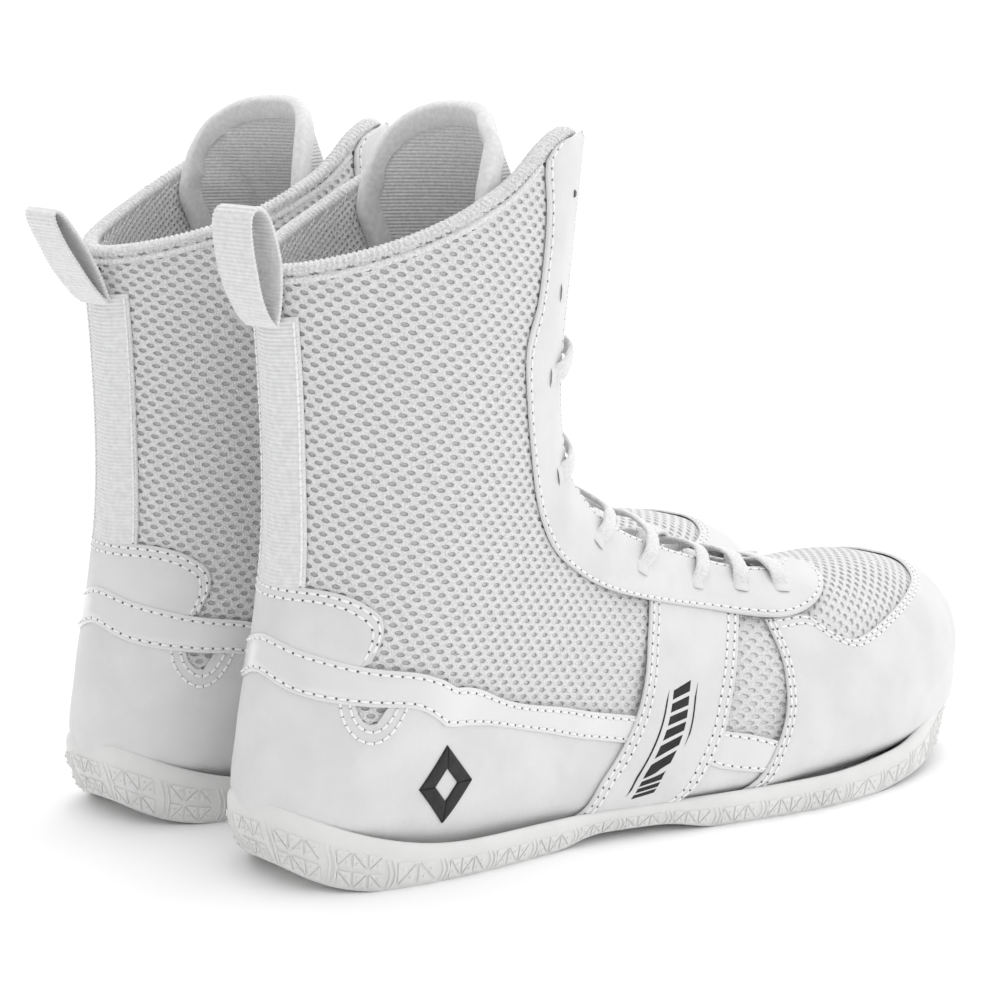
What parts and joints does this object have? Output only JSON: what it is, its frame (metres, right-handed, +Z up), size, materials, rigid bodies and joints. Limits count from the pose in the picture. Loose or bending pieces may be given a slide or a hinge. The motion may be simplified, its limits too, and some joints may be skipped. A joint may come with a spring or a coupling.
{
  "type": "boxing boots",
  "caption": "Pair of high-top lace-up boxing boots with mesh shafts, leather-look overlays, padded tongues and thin cupped rubber soles.",
  "frame": {"origin": "centre of the pair's footprint at floor level", "axes": "+Z up, toes toward -Y, the wearer's right boot at -X and the left boot at +X"},
  "size_m": [0.2066, 0.305, 0.2296],
  "materials": {
    "sole_rubber": "matt moulded rubber with a raised side pattern",
    "foam": "closed-cell foam",
    "board": "fibre board",
    "stiffener": "thermoplastic sheet",
    "lining_fabric": "fine knitted lining",
    "binding_knit": "rolled knitted binding",
    "upper_mesh": "open air mesh",
    "synthetic_leather": "matt fine grain",
    "patent": "glossy coated strip",
    "tongue_fabric": "woven canvas",
    "tongue_twill": "diagonal twill tape",
    "ribbon": "ribbed grosgrain",
    "lace_fabric": "flat braided lace",
    "aglet_plastic": "moulded tips",
    "emblem_black": "embossed black film"
  },
  "bodies": {
    "right_boot": {"right_outsole": "sole_rubber", "right_midsole": "foam", "right_insole_board": "board", "right_sock_liner": "lining_fabric", "right_heel_counter": "stiffener", "right_toe_puff": "stiffener", "right_quarter_lining_lateral": "lining_fabric", "right_quarter_lining_medial": "lining_fabric", "right_vamp_lining": "lining_fabric", "right_collar_padding": "foam", "right_collar_binding": "binding_knit", "right_quarter_mesh_lateral": "upper_mesh", "right_quarter_mesh_medial": "upper_mesh", "right_vamp_mesh": "upper_mesh", "right_toe_cap": "synthetic_leather", "right_heel_overlay": "synthetic_leather", "right_heel_band": "patent", "right_heel_tab": "synthetic_leather", "right_saddle_lateral": "synthetic_leather", "right_saddle_medial": "synthetic_leather", "right_eyestay_lateral": "synthetic_leather", "right_eyestay_medial": "synthetic_leather", "right_tongue_instep": "tongue_fabric", "right_back_strip": "ribbon", "right_lace": "lace_fabric", "right_aglets": "aglet_plastic", "right_heel_emblem": "emblem_black"},
    "right_tongue_top": {"right_tongue_shaft": "tongue_fabric", "right_tongue_binding": "tongue_twill"},
    "right_loop": {"right_pull_loop": "ribbon"},
    "left_boot": {"left_outsole": "sole_rubber", "left_midsole": "foam", "left_insole_board": "board", "left_sock_liner": "lining_fabric", "left_heel_counter": "stiffener", "left_toe_puff": "stiffener", "left_quarter_lining_lateral": "lining_fabric", "left_quarter_lining_medial": "lining_fabric", "left_vamp_lining": "lining_fabric", "left_collar_padding": "foam", "left_collar_binding": "binding_knit", "left_quarter_mesh_lateral": "upper_mesh", "left_quarter_mesh_medial": "upper_mesh", "left_vamp_mesh": "upper_mesh", "left_toe_cap": "synthetic_leather", "left_heel_overlay": "synthetic_leather", "left_heel_band": "patent", "left_heel_tab": "synthetic_leather", "left_saddle_lateral": "synthetic_leather", "left_saddle_medial": "synthetic_leather", "left_eyestay_lateral": "synthetic_leather", "left_eyestay_medial": "synthetic_leather", "left_tongue_instep": "tongue_fabric", "left_back_strip": "ribbon", "left_lace": "lace_fabric", "left_aglets": "aglet_plastic", "left_heel_emblem": "emblem_black"},
    "left_tongue_top": {"left_tongue_shaft": "tongue_fabric", "left_tongue_binding": "tongue_twill"},
    "left_loop": {"left_pull_loop": "ribbon"}
  },
  "joints": [
    {"name": "pair_apart", "type": "slide", "parent": "right_boot", "child": "left_boot", "axis": [1, 0, 0], "range_m": [0, 0.2]},
    {"name": "right_tongue_hinge", "type": "hinge", "parent": "right_boot", "child": "right_tongue_top", "pos_m": [-0.04703, 0.04897, 0.178], "axis": [-0.9993, 0.0384, 0], "range_deg": [0, 15], "stiffness_Nm_per_rad": 0.4},
    {"name": "right_loop_hinge", "type": "hinge", "parent": "right_boot", "child": "right_loop", "pos_m": [-0.04386, 0.13161, 0.1655], "axis": [-0.9993, 0.0384, 0], "range_deg": [0, 100], "stiffness_Nm_per_rad": 0.05},
    {"name": "left_tongue_hinge", "type": "hinge", "parent": "left_boot", "child": "left_tongue_top", "pos_m": [0.04703, 0.04897, 0.178], "axis": [-0.9993, -0.0384, 0], "range_deg": [0, 15], "stiffness_Nm_per_rad": 0.4},
    {"name": "left_loop_hinge", "type": "hinge", "parent": "left_boot", "child": "left_loop", "pos_m": [0.04386, 0.13161, 0.1655], "axis": [-0.9993, -0.0384, 0], "range_deg": [-20, 80], "stiffness_Nm_per_rad": 0.05}
  ]
}
